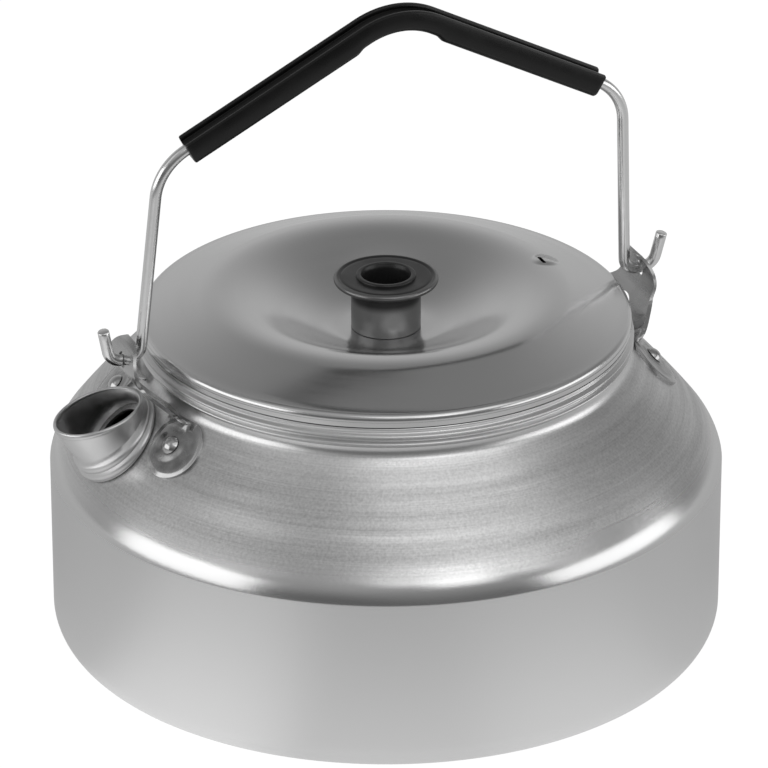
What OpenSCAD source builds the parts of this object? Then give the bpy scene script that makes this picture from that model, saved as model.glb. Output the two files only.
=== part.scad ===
// Camping kettle: a spun aluminium body with a short spout, a lift-off lid and a folding wire bail.
// Millimetres. +Z is up and the origin is the centre of the underside. The spout points along -X, and
// the bail turns about a line parallel to X. The bail rests a little off upright, towards -Y.

/* [Body] */
// Radius of the straight wall
body_r = 87.5; // [82:0.5:100]
// Thickness of the body sheet
body_wall = 0.8; // [0.6:0.1:1.2]
// Radius of the corner between base and wall
base_corner_r = 7.3; // [3:0.1:10]
// Height of the crease where the wall ends and the shoulder starts
wall_top = 47.7; // [40:0.1:60]
// Radius of the shoulder's rounded edge, above the crease
edge_r = 13.2; // [8:0.1:16]
// Slope of the shoulder's face at the crease, from upright, in degrees
crease_slope = 12; // [5:1:20]
// Slope of the shoulder above its rounded edge, from upright, in degrees
shoulder_slope_low = 38; // [35:1:42]
// Slope of the shoulder at the foot of the neck, from upright, in degrees
shoulder_slope_high = 46; // [44:1:50]

/* [Neck] */
// Outer radius of the neck in its grooves
neck_r = 63; // [58:0.1:66]
// Radius of the hollow curve from shoulder to neck
neck_root_r = 3.9; // [2:0.1:5]
// Height of the neck above its root
neck_h = 5.9; // [5:0.1:9]
// How far the two beads stand out of the neck
bead_out = 1.1; // [0.5:0.1:1.5]

/* [Lid] */
// Thickness of the lid sheet
lid_wall = 0.8; // [0.6:0.1:1.2]
// How far the lid's hem stands out past the neck's grooves
hem_out = 0.4; // [0:0.1:1]
// Height of the hem below the dark line round the lid
hem_h = 1.8; // [1:0.1:2.5]
// Radius of the lid's rounded edge, above the hem
lid_edge_r = 1.6; // [1:0.1:2]
// Radius of the raised ring on the lid
crest_r = 43; // [36:0.5:50]
// Height of the raised ring above the lid's outer edge
crest_h = 5.9; // [3:0.1:9]
// Width over which the raised ring is rounded off
crest_soft = 5; // [2:0.5:8]
// Depth of the dish below the raised ring
dish_d = 10.6; // [6:0.1:12]
// Radius of the flat middle that the knob stands on
dish_flat_r = 11; // [10.5:0.5:14]
// Depth of the skirt inside the neck
skirt_h = 7; // [5:0.5:8]
// Clearance between skirt and neck
skirt_gap = 0.4; // [0.3:0.05:0.8]
// Clearance under the lid's hem
lid_seat_gap = 0.2; // [0.1:0.05:0.3]
// Length of the steam slot, along the raised ring
steam_l = 4.4; // [3:0.1:8]
// Width of the steam slot
steam_w = 2; // [1:0.1:3]

/* [Knob] */
// Radius of the knob's flange
knob_flange_r = 13.5; // [11:0.1:16]
// Thickness of the flange at its rim
knob_flange_t = 1.7; // [1.2:0.1:3]
// Radius of the knob's waist
knob_waist_r = 9; // [8.5:0.1:10]
// Height of the knob above the lid
knob_h = 14; // [12:0.1:20]
// Radius of the round corner under the flange
knob_fillet_r = 2.6; // [1.5:0.1:3]
// Radius of the deep hole in the knob
knob_hole_r = 6; // [4.5:0.1:6.5]
// Width of the raised ring round the hole
knob_lip_w = 1.5; // [0.8:0.1:2]
// Height of the raised ring round the hole
knob_lip_h = 0.6; // [0.3:0.1:1]
// Thickness of the floor under the hole
knob_floor_t = 2.6; // [2:0.1:4]

/* [Knob screw] */
// Radius of the screw's shank
screw_r = 2; // [1.5:0.1:2.5]
// Radius of the screw's head
screw_head_r = 3.8; // [3.2:0.1:4.2]
// Height of the screw's head
screw_head_h = 2.4; // [1.8:0.1:3]
// Clearance round the screw in the pieces that it clamps
screw_gap = 0.15; // [0.05:0.05:0.3]
// Radius of the washer
washer_r = 6; // [5:0.1:8]
// Thickness of the washer
washer_t = 1; // [0.6:0.1:1.5]
// Width of the nut across its flats
nut_af = 7; // [6.5:0.1:8]
// Thickness of the nut
nut_t = 3; // [2:0.1:3.5]
// How far the screw stands out of the nut
screw_tail = 0.8; // [0:0.1:1]

/* [Lugs] */
// Thickness of the lug sheet
lug_t = 0.8; // [0.6:0.1:1]
// How far the ear's curl stands outside the neck
ear_out = 9.9; // [8:0.1:12]
// Height of the bail's hinge line above the top of the neck
hinge_rise = 2.4; // [1:0.1:7]
// Outer radius of the ear's curl
ear_curl_r = 8.1; // [7:0.1:9]
// How far the curl's centre lies below the hinge line
ear_drop = 0.2; // [0:0.1:0.5]
// Angle at which the curl ends above its centre, in degrees
ear_top_angle = 48; // [35:1:50]
// Slope of the straight part of the ear, above level, in degrees
ear_slope = 37; // [32:1:42]
// Half the width of the ear's round top
ear_top_r = 9.6; // [7:0.1:11]
// How far below the neck's root the ear has widened to its feet
ear_foot_drop = 3; // [1:0.1:5]
// Height of the arch between the feet, above the neck's root
arch_rise = 1.8; // [1:0.1:3]
// Distance from the neck to the upper end of the feet
foot_gap = 1.8; // [1:0.1:2.5]
// Radius of the hole in the ear
ear_hole_r = 2.2; // [2:0.05:2.4]
// Radius of the arch between the lug's feet
arch_r = 9.5; // [8:0.1:10]
// Radius of each foot pad
pad_r = 8.5; // [7:0.1:9]
// How far the middle of each pad lies outside its rivet
pad_shift = 1.5; // [0:0.1:2]
// Distance from the lug axis to each rivet
rivet_side = 19.4; // [18.5:0.1:21]
// Distance from the neck out to each rivet
rivet_out = 6.75; // [6:0.05:8]

/* [Rivets] */
// Radius of a rivet's shank
rivet_r = 1.5; // [1.2:0.1:1.8]
// Radius of a rivet's domed head
rivet_head_r = 2.5; // [2.2:0.1:3]
// Height of a rivet's domed head
rivet_head_h = 1.4; // [1:0.1:1.8]
// Clearance round a rivet's shank
rivet_gap = 0.05; // [0.05:0.05:0.15]

/* [Spout] */
// Height from the middle of the spout's root up to the neck's root
spout_drop = 13.3; // [12.5:0.1:16]
// Radius of the spout just above its root beads
spout_waist_r = 10.9; // [9:0.1:11.2]
// Radius of the spout's mouth, out towards its lip
spout_mouth_r = 12; // [10:0.1:12.2]
// Thickness of the spout's sheet
spout_wall = 0.8; // [0.6:0.1:1]
// Length of the spout along its middle line
spout_l = 9.6; // [8:0.1:14]
// How far the spout bends upwards between root and mouth, in degrees
spout_bend = 31; // [20:1:40]
// How much narrower the mouth is across than out towards its lip, as a fraction
spout_pinch = 0.14; // [0:0.01:0.2]
// Radius of the thin roll round the mouth
spout_roll_r = 0.55; // [0.45:0.05:0.7]
// Outer radius of the lower bead at the root
spout_bead_r = 13.2; // [12.3:0.1:13.3]
// Thickness of each bead at the root
spout_bead_t = 1.6; // [1.2:0.1:2]
// Radius of the hole in the shoulder, under the spout
pour_hole_r = 8.4; // [7:0.1:8.6]

/* [Bail] */
// Thickness of the bail wire
wire_d = 3; // [2.6:0.1:3.2]
// Lean of the bail at rest, towards -Y, in degrees
bail_lean = 5.4; // [0:0.1:10]
// Distance from the neck out to the foot of each leg, at the hinge line
leg_out = 4.8; // [4.3:0.05:5]
// How far each lower corner of the bail lies inside the leg's foot
leg_lean = 3.9; // [1:0.1:8]
// Height of each lower corner above the hinge line
corner_up = 53.7; // [45:0.1:75]
// Height of the peak above the hinge line, where its arms would meet
peak_up = 87.9; // [80:0.1:110]
// Radius of the lower corners
corner_r = 15; // [8:0.5:18]
// Radius of the bend at the peak
peak_r = 20; // [15:0.5:26]
// Radius of the bend from leg to hinge line
foot_bend_r = 3.7; // [3.2:0.1:3.8]
// Radius of the bend from hinge line to hook
hook_bend_r = 3.8; // [3:0.1:4]
// Distance from the neck out to the corner of the hook
hook_reach = 13; // [12.5:0.1:14]
// Height of the hook's cut end above the hinge line
hook_up = 9.4; // [7:0.1:12]
// Slope of the hook, above level, in degrees
hook_slope = 78; // [70:1:85]

/* [Grip] */
// Width of the grip, across the bail
grip_w = 6.2; // [5.6:0.1:8]
// Depth of the grip below the middle of the wire
grip_below = 2.8; // [2.6:0.1:5]
// Height of the grip's walls above the middle of the wire
grip_above = 2.9; // [1.8:0.1:3.2]
// Distance from each end of the grip to the bail's lower corner, across the kettle
grip_short = 7.3; // [6.5:0.1:20]
// Radius of the rounded lower edges
grip_round = 1.6; // [0.5:0.1:2]
// Clearance between the wire and its channel
grip_gap = 0.05; // [0.05:0.05:0.1]
// How much deeper the two arms are than the bend
arm_step = 0.8; // [0.1:0.1:2]

/* [Hidden] */
$fn = 96;

steel = [0.78, 0.78, 0.80];
aluminium = [0.70, 0.71, 0.72];
black = [0.07, 0.07, 0.08];
seat_gap = 0.05;   // clearance between pieces that are fixed to each other
far = 200;         // longer than any piece
punch = 6;         // length of a tool that cuts a hole through sheet
arc_steps = 12;    // steps in a quarter turn of an outline

// Points of an arc about c, from angle a to angle b, with so many steps in a quarter turn
function arc(c, r, a, b, steps = arc_steps) =
    let (n = max(2, ceil(steps * abs(b - a) / 90)))
    [for (i = [0:n]) c + r * [cos(a + (b - a) * i / n), sin(a + (b - a) * i / n)]];

// Shoulder: an edge arc, one wide arc up to the neck's root, and a hollow arc into the neck
edge_in = edge_r * (cos(crease_slope) - cos(shoulder_slope_low));
edge_up = edge_r * (sin(shoulder_slope_low) - sin(crease_slope));
root_in = neck_root_r * (1 - cos(shoulder_slope_high));
root_up = neck_root_r * sin(shoulder_slope_high);
shoulder_in = body_r - edge_in - neck_r - root_in;
shoulder_r = shoulder_in / (cos(shoulder_slope_low) - cos(shoulder_slope_high));
shoulder_up = shoulder_r * (sin(shoulder_slope_high) - sin(shoulder_slope_low));
edge_c = [body_r - edge_r * cos(crease_slope), wall_top - edge_r * sin(crease_slope)];
shoulder_c = edge_c + (edge_r - shoulder_r) * [cos(shoulder_slope_low), sin(shoulder_slope_low)];
root_z = wall_top + edge_up + shoulder_up + root_up;
root_c = [neck_r + neck_root_r, root_z];
neck_top = root_z + neck_h;
spout_z = root_z - spout_drop;
hinge_z = neck_top + hinge_rise;
ear_reach = neck_r + ear_out;
ear_foot_z = root_z - ear_foot_drop;
rivet_reach = neck_r + rivet_out;

// Height and slope of the shoulder's outer face at radius r
function shoulder_angle(r) = acos((r - shoulder_c[0]) / shoulder_r);
function shoulder_z(r) = shoulder_c[1] + shoulder_r * sin(shoulder_angle(r));

// Beads of the neck, as one wave that falls back into two grooves
bead_n = 24;
bead_foot = 0.4;   // plain neck below the lower bead
bead_head = 1.1;   // plain neck above the upper bead
low_bead = 0.85;   // how far the lower bead stands out, next to the upper one
bead_h = neck_h - bead_foot - bead_head;
function bead_points(shift) =
    [for (i = [0:bead_n]) let (t = i / bead_n)
        [neck_r - shift + bead_out * pow(sin(360 * t), 2) * (low_bead + (1 - low_bead) * t),
         root_z + bead_foot + bead_h * t]];

crease_h = 0.2;    // height of the crease itself
// Outer outline of the body, grown by d: base corner, wall, shoulder, neck
function body_outline(d) = concat(
    arc([body_r - base_corner_r, base_corner_r], base_corner_r + d, -90, 0),
    [[body_r + d, wall_top - crease_h]],
    arc(edge_c, edge_r + d, crease_slope, shoulder_slope_low),
    arc(shoulder_c, shoulder_r + d, shoulder_slope_low, shoulder_slope_high),
    arc(root_c, neck_root_r - d, 180 + shoulder_slope_high, 180),
    bead_points(-d),
    [[neck_r + hem_out + d, neck_top]]);

module revolve(points) rotate_extrude($fn = 180) polygon(points);

// Solid out to the body's outer face, grown by d, up to the top of the neck
module body_envelope(d) revolve(concat([[0, -d]], body_outline(d), [[0, neck_top]]));

// Places children on the shoulder at radius r and angle a, with +Z along the face's normal
module on_shoulder(r, a)
    rotate([0, 0, a]) translate([r, 0, shoulder_z(r)]) rotate([0, 90 - shoulder_angle(r), 0]) children();

// Places children at the four rivets: side is -1 for the spout's lug and 1 for the rear one
rivet_turn = asin(rivet_side / rivet_reach);
module at_rivet(side, end) on_shoulder(rivet_reach, (side < 0 ? 180 : 0) + end * rivet_turn) children();

spout_reach = shoulder_c[0] + sqrt(pow(shoulder_r, 2) - pow(spout_z - shoulder_c[1], 2));
module at_spout() on_shoulder(spout_reach, 180) children();

// Body, spun from one disc: even sheet all round, with the pour hole and the rivets' holes
module kettle_body() color(aluminium) difference() {
    revolve(concat([[0, 0]], body_outline(0), [[neck_r + hem_out - body_wall, neck_top]],
        [for (p = body_inner()) p], [[0, body_wall]]));
    at_spout() cylinder(r = pour_hole_r, h = punch, center = true);
    for (side = [-1, 1], end = [-1, 1])
        at_rivet(side, end) cylinder(r = rivet_r + rivet_gap, h = punch, center = true, $fn = 32);
}
function body_inner() = let (o = body_outline(-body_wall)) [for (i = [len(o) - 2:-1:0]) o[i]];

// Spout: a funnel whose middle line bends upwards, with a rolled mouth and two beads at its root. Its
// outline is a closed list of [radius, distance along the middle line], swept ring by ring
sides = 48;
flare_n = 8;
flare_power = 1.8; // 1 is a straight cone, and more turns out later
bead_rise = 0.85;  // distance between the two beads, in bead thicknesses
bead_half = 60;    // half the angle that the lower bead's round side takes
bead_end = 80;     // angle at which the upper bead runs into the waist
root_end = 2 * spout_bead_t;
function flare(s) = spout_waist_r
    + (spout_mouth_r - spout_waist_r) * pow(max(0, s - root_end) / (spout_l - root_end), flare_power);
roll_c = [spout_mouth_r - spout_wall / 2, spout_l];
bead_c = [spout_bead_r - spout_bead_t / 2, spout_bead_t / 2];
spout_outline = concat(
    [[bead_c[0], 0]], arc(bead_c, spout_bead_t / 2, -bead_half, bead_half, 3),
    arc(bead_c + [-spout_bead_t / 2, bead_rise * spout_bead_t], spout_bead_t / 2,
        -bead_half / 2, bead_end, 3),
    [for (i = [1:flare_n - 1]) let (s = root_end + (spout_l - root_end) * i / flare_n) [flare(s), s]],
    arc(roll_c, spout_roll_r, -50, 230, 3),
    [for (i = [flare_n - 1:-1:0]) let (s = spout_l * i / flare_n) [flare(s) - spout_wall, s]]);
// The root follows the shoulder, which falls away from a flat ring along and across its slope
root_angle = shoulder_angle(spout_reach);
function fall(x, y) = (pow(x, 2) / shoulder_r + pow(y, 2) * cos(root_angle) / spout_reach) / 2;
bend_path_r = spout_l / (spout_bend * PI / 180);
function spout_ring(q) =
    let (a = q[1] / spout_l * spout_bend, low = max(0, 1 - q[1] / root_end),
         wide = 1 - spout_pinch * q[1] / spout_l,
         c = [-bend_path_r * (1 - cos(a)), 2 * seat_gap + bend_path_r * sin(a)])
    [for (k = [0:sides - 1]) let (w = 360 * k / sides, x = c[0] + q[0] * cos(w) * cos(a),
        y = wide * q[0] * sin(w))
        [x, y, c[1] + q[0] * cos(w) * sin(a) - low * fall(x, y)]];
module spout() color(aluminium) at_spout() let (loops = len(spout_outline)) polyhedron(
    points = [for (q = spout_outline) for (p = spout_ring(q)) p],
    faces = [for (j = [0:loops - 1], k = [0:sides - 1], half = [0, 1])
        let (a = j * sides + k, b = j * sides + (k + 1) % sides,
             c = ((j + 1) % loops) * sides + (k + 1) % sides, d = ((j + 1) % loops) * sides + k)
        half == 0 ? [a, c, b] : [a, d, c]]);

// Outline of the lug's side view: a straight part that rises outwards, and a curl
ear_c = [ear_reach - ear_curl_r, hinge_z - ear_drop];
ear_low_angle = ear_slope - 90;
ear_run = 11;      // length of the straight part before it is trimmed by the shoulder
ear_dir = [cos(ear_slope), sin(ear_slope)];
ear_outer_end = ear_c + ear_curl_r * [cos(ear_low_angle), sin(ear_low_angle)];
ear_inner_end = ear_c + (ear_curl_r - lug_t) * [cos(ear_low_angle), sin(ear_low_angle)];
module ear_side() polygon(concat(
    [ear_outer_end - ear_run * ear_dir],
    arc(ear_c, ear_curl_r, ear_low_angle, ear_top_angle),
    arc(ear_c, ear_curl_r - lug_t, ear_top_angle, ear_low_angle),
    [ear_inner_end - ear_run * ear_dir]));

// Outline of the ear seen from outside: a tongue with a round top, whose sides sweep out to the feet in
// an S, which is the smooth step 3t^2 - 2t^3
ear_top_z = ear_c[1] + ear_curl_r * sin(ear_top_angle);
ear_neck_z = ear_top_z - ear_top_r;
function ear_edge(side) = [for (i = [0:12]) let (t = i / 12)
    [side * (ear_top_r + (rivet_side - ear_top_r) * t * t * (3 - 2 * t)),
     ear_neck_z + (ear_foot_z - ear_neck_z) * t]];
module ear_front() difference() {
    union() {
        translate([0, ear_neck_z]) circle(r = ear_top_r);
        polygon(concat(ear_edge(1), [[rivet_side, root_z - far / 8], [-rivet_side, root_z - far / 8]],
            [for (i = [12:-1:0]) ear_edge(-1)[i]]));
    }
    translate([0, root_z + arch_rise - arch_r]) circle(r = arch_r);
    translate([-arch_r, root_z - far]) square([2 * arch_r, far + arch_rise - arch_r]);
}

web_w = 0.9 * pad_r;    // width of the sheet that joins a foot to the ear
pad_deep = 4 * lug_t;   // enough to cross the sheet, and too little to reach the neck
// Lug for the rear side: an ear, and two round feet that follow the shoulder
module lug() color(steel) difference() {
    union() {
        intersection() {
            rotate([90, 0, 0]) linear_extrude(far, center = true) ear_side();
            translate([ear_c[0] - far / 2, 0, 0]) rotate([90, 0, 90]) linear_extrude(far) ear_front();
        }
        intersection() {
            difference() {
                body_envelope(seat_gap + lug_t);
                cylinder(r = neck_r + foot_gap, h = far);
            }
            for (end = [-1, 1]) at_rivet(1, end) {
                translate([0, end * pad_shift, 0]) cylinder(r = pad_r, h = pad_deep, center = true);
                translate([-pad_r, end * (pad_shift - pad_r / 2), 0])
                    cube([2 * pad_r, web_w, pad_deep], center = true);
            }
        }
    }
    body_envelope(seat_gap);
    for (end = [-1, 1])
        at_rivet(1, end) cylinder(r = rivet_r + rivet_gap, h = punch, center = true, $fn = 32);
    translate([0, 0, hinge_z]) rotate([0, 90, 0]) cylinder(r = ear_hole_r, h = far, $fn = 48);
}
module rear_lug() lug();
module spout_lug() mirror([1, 0, 0]) lug();

// Rivet: a domed head on the foot, a shank through foot and body, and a flat head inside
rivet_gap_in = 0.2; // clearance between the sheet and the flat head inside, which is flat on a curve
rivet_low = -body_wall - rivet_gap_in;
rivet_high = lug_t + 2 * seat_gap;
rivet_tail_t = 1;  // thickness of the flat head inside
module rivet(side, end) color(steel) at_rivet(side, end) {
    dome_r = (pow(rivet_head_r, 2) + pow(rivet_head_h, 2)) / (2 * rivet_head_h);
    translate([0, 0, rivet_high]) intersection() {
        translate([0, 0, rivet_head_h - dome_r]) sphere(r = dome_r);
        cylinder(r = rivet_head_r, h = rivet_head_h, $fn = 48);
    }
    translate([0, 0, rivet_low]) cylinder(r = rivet_r, h = rivet_high - rivet_low, $fn = 32);
    translate([0, 0, rivet_low - rivet_tail_t]) cylinder(r = rivet_head_r, h = rivet_tail_t, $fn = 48);
}

// Lid: hem on the neck, rounded edge, cone up to the raised ring, and the dish inside it
lid_r = neck_r + hem_out;
lid_seat_z = neck_top + lid_seat_gap;
hem_z = lid_seat_z + hem_h;
lid_edge_z = hem_z + lid_edge_r;
crest_z = lid_edge_z + crest_h;
dish_z = crest_z - dish_d;
cone_in = lid_r - lid_edge_r;
cone_slope = crest_h / (cone_in - crest_r - crest_soft / 2);
skirt_out = neck_r - body_wall - skirt_gap;
skirt_in = skirt_out - lid_wall;
dish_n = 26;
// Height of the upper face at radius r: a smooth fall from ring to dish, and a straight one to the edge
function dish(r) = let (t = (r - dish_flat_r) / (crest_r - dish_flat_r))
    dish_z + dish_d * (3 * t * t - 2 * t * t * t);
function cone(r) = let (t = r - crest_r)
    crest_z - cone_slope * (t < crest_soft ? t * t / (2 * crest_soft) : t - crest_soft / 2);
lid_face = concat(
    [for (i = [0:dish_n]) let (r = dish_flat_r + (crest_r - dish_flat_r) * i / dish_n) [r, dish(r)]],
    [for (i = [1:5]) let (r = crest_r + crest_soft * i / 5) [r, cone(r)]]);
groove = 0.15;     // depth of the line between hem and rounded edge
edge_start = 85;   // angle at which the lid's rounded edge leaves its slope
steam_at = crest_r + 1;  // distance from the axis to the steam slot
module lid() color(aluminium) difference() {
    revolve(concat(
        [[0, dish_z]], lid_face, arc([cone_in, hem_z], lid_edge_r, edge_start, 0),
        [[lid_r, hem_z - groove], [lid_r - groove, hem_z - 2 * groove], [lid_r, hem_z - 3 * groove],
         [lid_r, lid_seat_z], [skirt_out, lid_seat_z], [skirt_out, lid_seat_z - skirt_h],
         [skirt_in, lid_seat_z - skirt_h], [skirt_in, cone(skirt_in) - lid_wall]],
        [for (i = [len(lid_face) - 1:-1:0]) lid_face[i] - [0, lid_wall]],
        [[0, dish_z - lid_wall]]));
    cylinder(r = screw_r + screw_gap, h = far, $fn = 48);
    translate([steam_at, 0, 0])
        for (end = [-1, 1]) translate([0, end * (steam_l - steam_w) / 2, 0])
            cylinder(r = steam_w / 2, h = far, $fn = 32);
    translate([steam_at, 0, far / 2]) cube([steam_w, steam_l - steam_w, far], center = true);
}

// Knob: a spool with a flange, a deep hole, and a floor that the screw clamps
knob_z = dish_z + seat_gap;
flange_low = knob_h - knob_flange_t;
module knob() color(black) translate([0, 0, knob_z]) rotate_extrude() polygon(concat(
    [[screw_r + screw_gap, 0], [knob_waist_r, 0]],
    arc([knob_waist_r + knob_fillet_r, flange_low - knob_fillet_r], knob_fillet_r, 180, 90),
    arc([knob_flange_r - knob_flange_t / 2, knob_h - knob_flange_t / 2], knob_flange_t / 2, -90, 90),
    [[knob_hole_r + knob_lip_w, knob_h], [knob_hole_r + knob_lip_w, knob_h + knob_lip_h],
     [knob_hole_r, knob_h + knob_lip_h], [knob_hole_r, knob_floor_t],
     [screw_r + screw_gap, knob_floor_t]]));

// Screw, washer and nut that hold the knob to the lid
clamp_z = knob_z + knob_floor_t + seat_gap;
washer_z = dish_z - lid_wall - seat_gap - washer_t;
nut_z = washer_z - seat_gap - nut_t;
driver_w = 1;      // width of the screw's slot
driver_depth = 1.2;
module knob_screw() color(steel) difference() {
    union() {
        translate([0, 0, clamp_z]) cylinder(r = screw_head_r, h = screw_head_h);
        translate([0, 0, nut_z - screw_tail])
            cylinder(r = screw_r, h = clamp_z - nut_z + screw_tail + screw_head_h / 2);
    }
    translate([0, 0, clamp_z + screw_head_h]) {
        cube([3 * screw_head_r, driver_w, 2 * driver_depth], center = true);
    }
}
module knob_washer() color(steel) translate([0, 0, washer_z]) difference() {
    cylinder(r = washer_r, h = washer_t);
    cylinder(r = screw_r + screw_gap, h = far, center = true);
}
module knob_nut() color(steel) translate([0, 0, nut_z]) difference() {
    cylinder(r = nut_af / sqrt(3), h = nut_t, $fn = 6);
    cylinder(r = screw_r + seat_gap, h = far, center = true);
}

// Bail: the wire's middle line as corners [out, up, bend radius] from one hook to the other
leg_foot = neck_r + leg_out;
hook_out = neck_r + hook_reach;
corner_out = leg_foot - leg_lean;
grip_end = corner_out - grip_short;
half_bail = [[hook_out + hook_up / tan(hook_slope), hook_up, 0], [hook_out, 0, hook_bend_r],
    [leg_foot, 0, foot_bend_r], [corner_out, corner_up, corner_r]];
bail = concat(half_bail, [[0, peak_up, peak_r]], [for (i = [3:-1:0]) [-half_bail[i][0], half_bail[i][1],
    half_bail[i][2]]]);
function xy(p) = [p[0], p[1]];
function unit(v) = v / norm(v);
function heading(v) = atan2(v[1], v[0]);
// Direction of each straight, turn at each corner, and length that the bend takes off each straight
function way(i) = unit(xy(bail[i + 1]) - xy(bail[i]));
function turn(i) = let (a = heading(way(i)) - heading(way(i - 1))) a > 180 ? a - 360 : a < -180 ? a + 360 : a;
function cut(i) = i == 0 || i == len(bail) - 1 ? 0 : bail[i][2] * abs(tan(turn(i) / 2));

// Frame of the bail: X across the kettle, Y up the leaning bail, Z off its face
module in_bail() translate([0, 0, hinge_z]) rotate([90 + bail_lean, 0, 0]) children();

// Children are a 2D section, with +X on the outer side of a straight or of a left-hand bend
module along_straight(a, b) translate([a[0], a[1], 0])
    rotate([0, 0, heading(b - a)]) rotate([90, 0, 90]) linear_extrude(norm(b - a)) children();
module round_bend(i, reach) {
    side = sign(turn(i));
    start = xy(bail[i]) - cut(i) * way(i - 1);
    c = start + side * bail[i][2] * [-way(i - 1)[1], way(i - 1)[0]];
    translate([c[0], c[1], 0]) rotate([0, 0, heading(start - c) + min(0, turn(i))])
        rotate_extrude(angle = abs(turn(i)), $fn = 96) translate([reach, 0]) children();
}

// Each straight is a hair thinner than the bends and laps into them, so that they join cleanly
hair = 0.01;
lap = 0.1;
module bail_wire() color(steel) in_bail() {
    for (i = [0:len(bail) - 2]) {
        low = i == 0 ? 0 : lap;
        high = i == len(bail) - 2 ? 0 : lap;
        along_straight(xy(bail[i]) + (cut(i) - low) * way(i), xy(bail[i + 1]) - (cut(i + 1) - high) * way(i))
            circle(r = wire_d / 2 - hair, $fn = 24);
    }
    for (i = [1:len(bail) - 2]) round_bend(i, bail[i][2]) circle(d = wire_d, $fn = 24);
}

// Grip: a channel, open on its outer side, with round lower edges. Its section has a depth below the
// wire, is drawn in by d, and has the open side at +X
module grip_section(depth, d) difference() {
    half_w = grip_w / 2 - d;
    union() {
        translate([grip_round - depth, -half_w]) square([depth + grip_above - d - grip_round, 2 * half_w]);
        translate([-depth, grip_round - half_w]) square([depth, 2 * (half_w - grip_round)]);
        for (end = [-1, 1]) translate([grip_round - depth, end * (half_w - grip_round)])
            circle(r = grip_round, $fn = 32);
    }
    circle(r = wire_d / 2 + grip_gap + d, $fn = 48);
    translate([0, -wire_d / 2 - grip_gap - d]) square([far, wire_d + 2 * (grip_gap + d)]);
}

peak = 4;          // number of the peak in the list of corners
module bail_grip() color(black) in_bail() {
    arm_dir = way(peak - 1);
    bend_start = xy(bail[peak]) - (cut(peak) - lap) * arm_dir;
    arm_end = xy(bail[peak]) - grip_end / abs(arm_dir[0]) * arm_dir;
    round_bend(peak, peak_r) grip_section(grip_below, hair);
    for (half = [0, 1]) mirror([half, 0, 0])
        along_straight(arm_end, bend_start) mirror([1, 0]) grip_section(grip_below + arm_step, 0);
}

kettle_body();
spout();
spout_lug();
rear_lug();
rivet(-1, -1);  // spout_lug_rivet_a
rivet(-1, 1);  // spout_lug_rivet_b
rivet(1, -1);  // rear_lug_rivet_a
rivet(1, 1);  // rear_lug_rivet_b
lid();
knob();
knob_screw();
knob_washer();
knob_nut();
bail_wire();
bail_grip();
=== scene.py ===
"""Camping kettle of spun aluminium with a folding wire bail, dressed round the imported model.
Metres, +Z up, spout towards -X. Sizes are written in millimetres and scaled by MM when a mesh is made."""
import math

import bmesh
import bpy
import numpy as np
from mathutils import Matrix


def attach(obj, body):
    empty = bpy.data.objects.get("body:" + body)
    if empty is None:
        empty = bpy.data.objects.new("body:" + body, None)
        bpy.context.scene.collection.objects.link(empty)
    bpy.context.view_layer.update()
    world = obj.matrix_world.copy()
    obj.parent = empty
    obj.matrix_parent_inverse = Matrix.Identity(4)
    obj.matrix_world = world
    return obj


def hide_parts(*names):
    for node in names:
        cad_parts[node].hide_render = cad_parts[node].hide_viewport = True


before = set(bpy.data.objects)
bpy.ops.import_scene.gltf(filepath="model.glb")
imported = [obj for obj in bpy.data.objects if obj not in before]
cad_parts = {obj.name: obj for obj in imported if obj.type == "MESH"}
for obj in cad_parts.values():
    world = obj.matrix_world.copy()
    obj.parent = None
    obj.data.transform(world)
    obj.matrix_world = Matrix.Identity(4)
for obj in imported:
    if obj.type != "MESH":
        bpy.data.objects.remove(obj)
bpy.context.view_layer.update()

# Camera.
# It stands off the spout's side at 23 degrees, looks down by 26, and has a long lens, as for a catalogue.
VIEW_TURN = math.radians(23)
VIEW_DOWN = math.radians(25.728)
CAMERA_OUT, CAMERA_UP = 1.4022, 0.7425
camera = bpy.data.objects.new("camera", bpy.data.cameras.new("camera"))
bpy.context.scene.collection.objects.link(camera)
camera.location = (-CAMERA_OUT * math.sin(VIEW_TURN), -CAMERA_OUT * math.cos(VIEW_TURN), CAMERA_UP)
camera.rotation_euler = (math.pi / 2 - VIEW_DOWN, 0, -VIEW_TURN)
camera.data.lens = 281.25
camera.data.sensor_width = 36
camera.data.shift_x = -2 / 768
bpy.context.scene.camera = camera
bpy.context.scene.view_settings.view_transform = "Standard"


# Studio.
# A white table and backdrop, a wide soft lamp low on each side, a small one in front and a wide one above.
def toward(turn, rise):
    """Unit vector towards turn degrees right of the camera and rise degrees above level, seen from the kettle."""
    a = math.atan2(-math.cos(VIEW_TURN), -math.sin(VIEW_TURN)) + math.radians(turn)
    b = math.radians(rise)
    return np.array([math.cos(a) * math.cos(b), math.sin(a) * math.cos(b), math.sin(b)])


def soft_lamp(name, turn, rise, distance, wide, tall, glow):
    """Rectangular lamp that faces a point 60 mm over the table; glow is its brightness, 1 for white."""
    lamp = bpy.data.lights.new(name, "AREA")
    lamp.shape = "RECTANGLE"
    lamp.size, lamp.size_y = wide, tall
    lamp.energy = glow * math.pi * wide * tall
    place = toward(turn, rise) * distance + np.array([0, 0, 0.06])
    holder = bpy.data.objects.new(name, lamp)
    bpy.context.scene.collection.objects.link(holder)
    holder.location = place
    holder.rotation_euler = (math.radians(90 - rise), 0, math.atan2(place[1], place[0]) + math.pi / 2)


soft_lamp("lamp_spout_side", -68, 13, 0.9, 0.84, 0.48, 1.28)
soft_lamp("lamp_rear_side", 79, 10, 0.9, 0.92, 0.38, 1.24)
soft_lamp("lamp_front", 27, 37, 0.9, 0.30, 0.26, 0.95)
soft_lamp("lamp_above", 30, 54, 1.1, 1.00, 0.60, 0.54)


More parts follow.
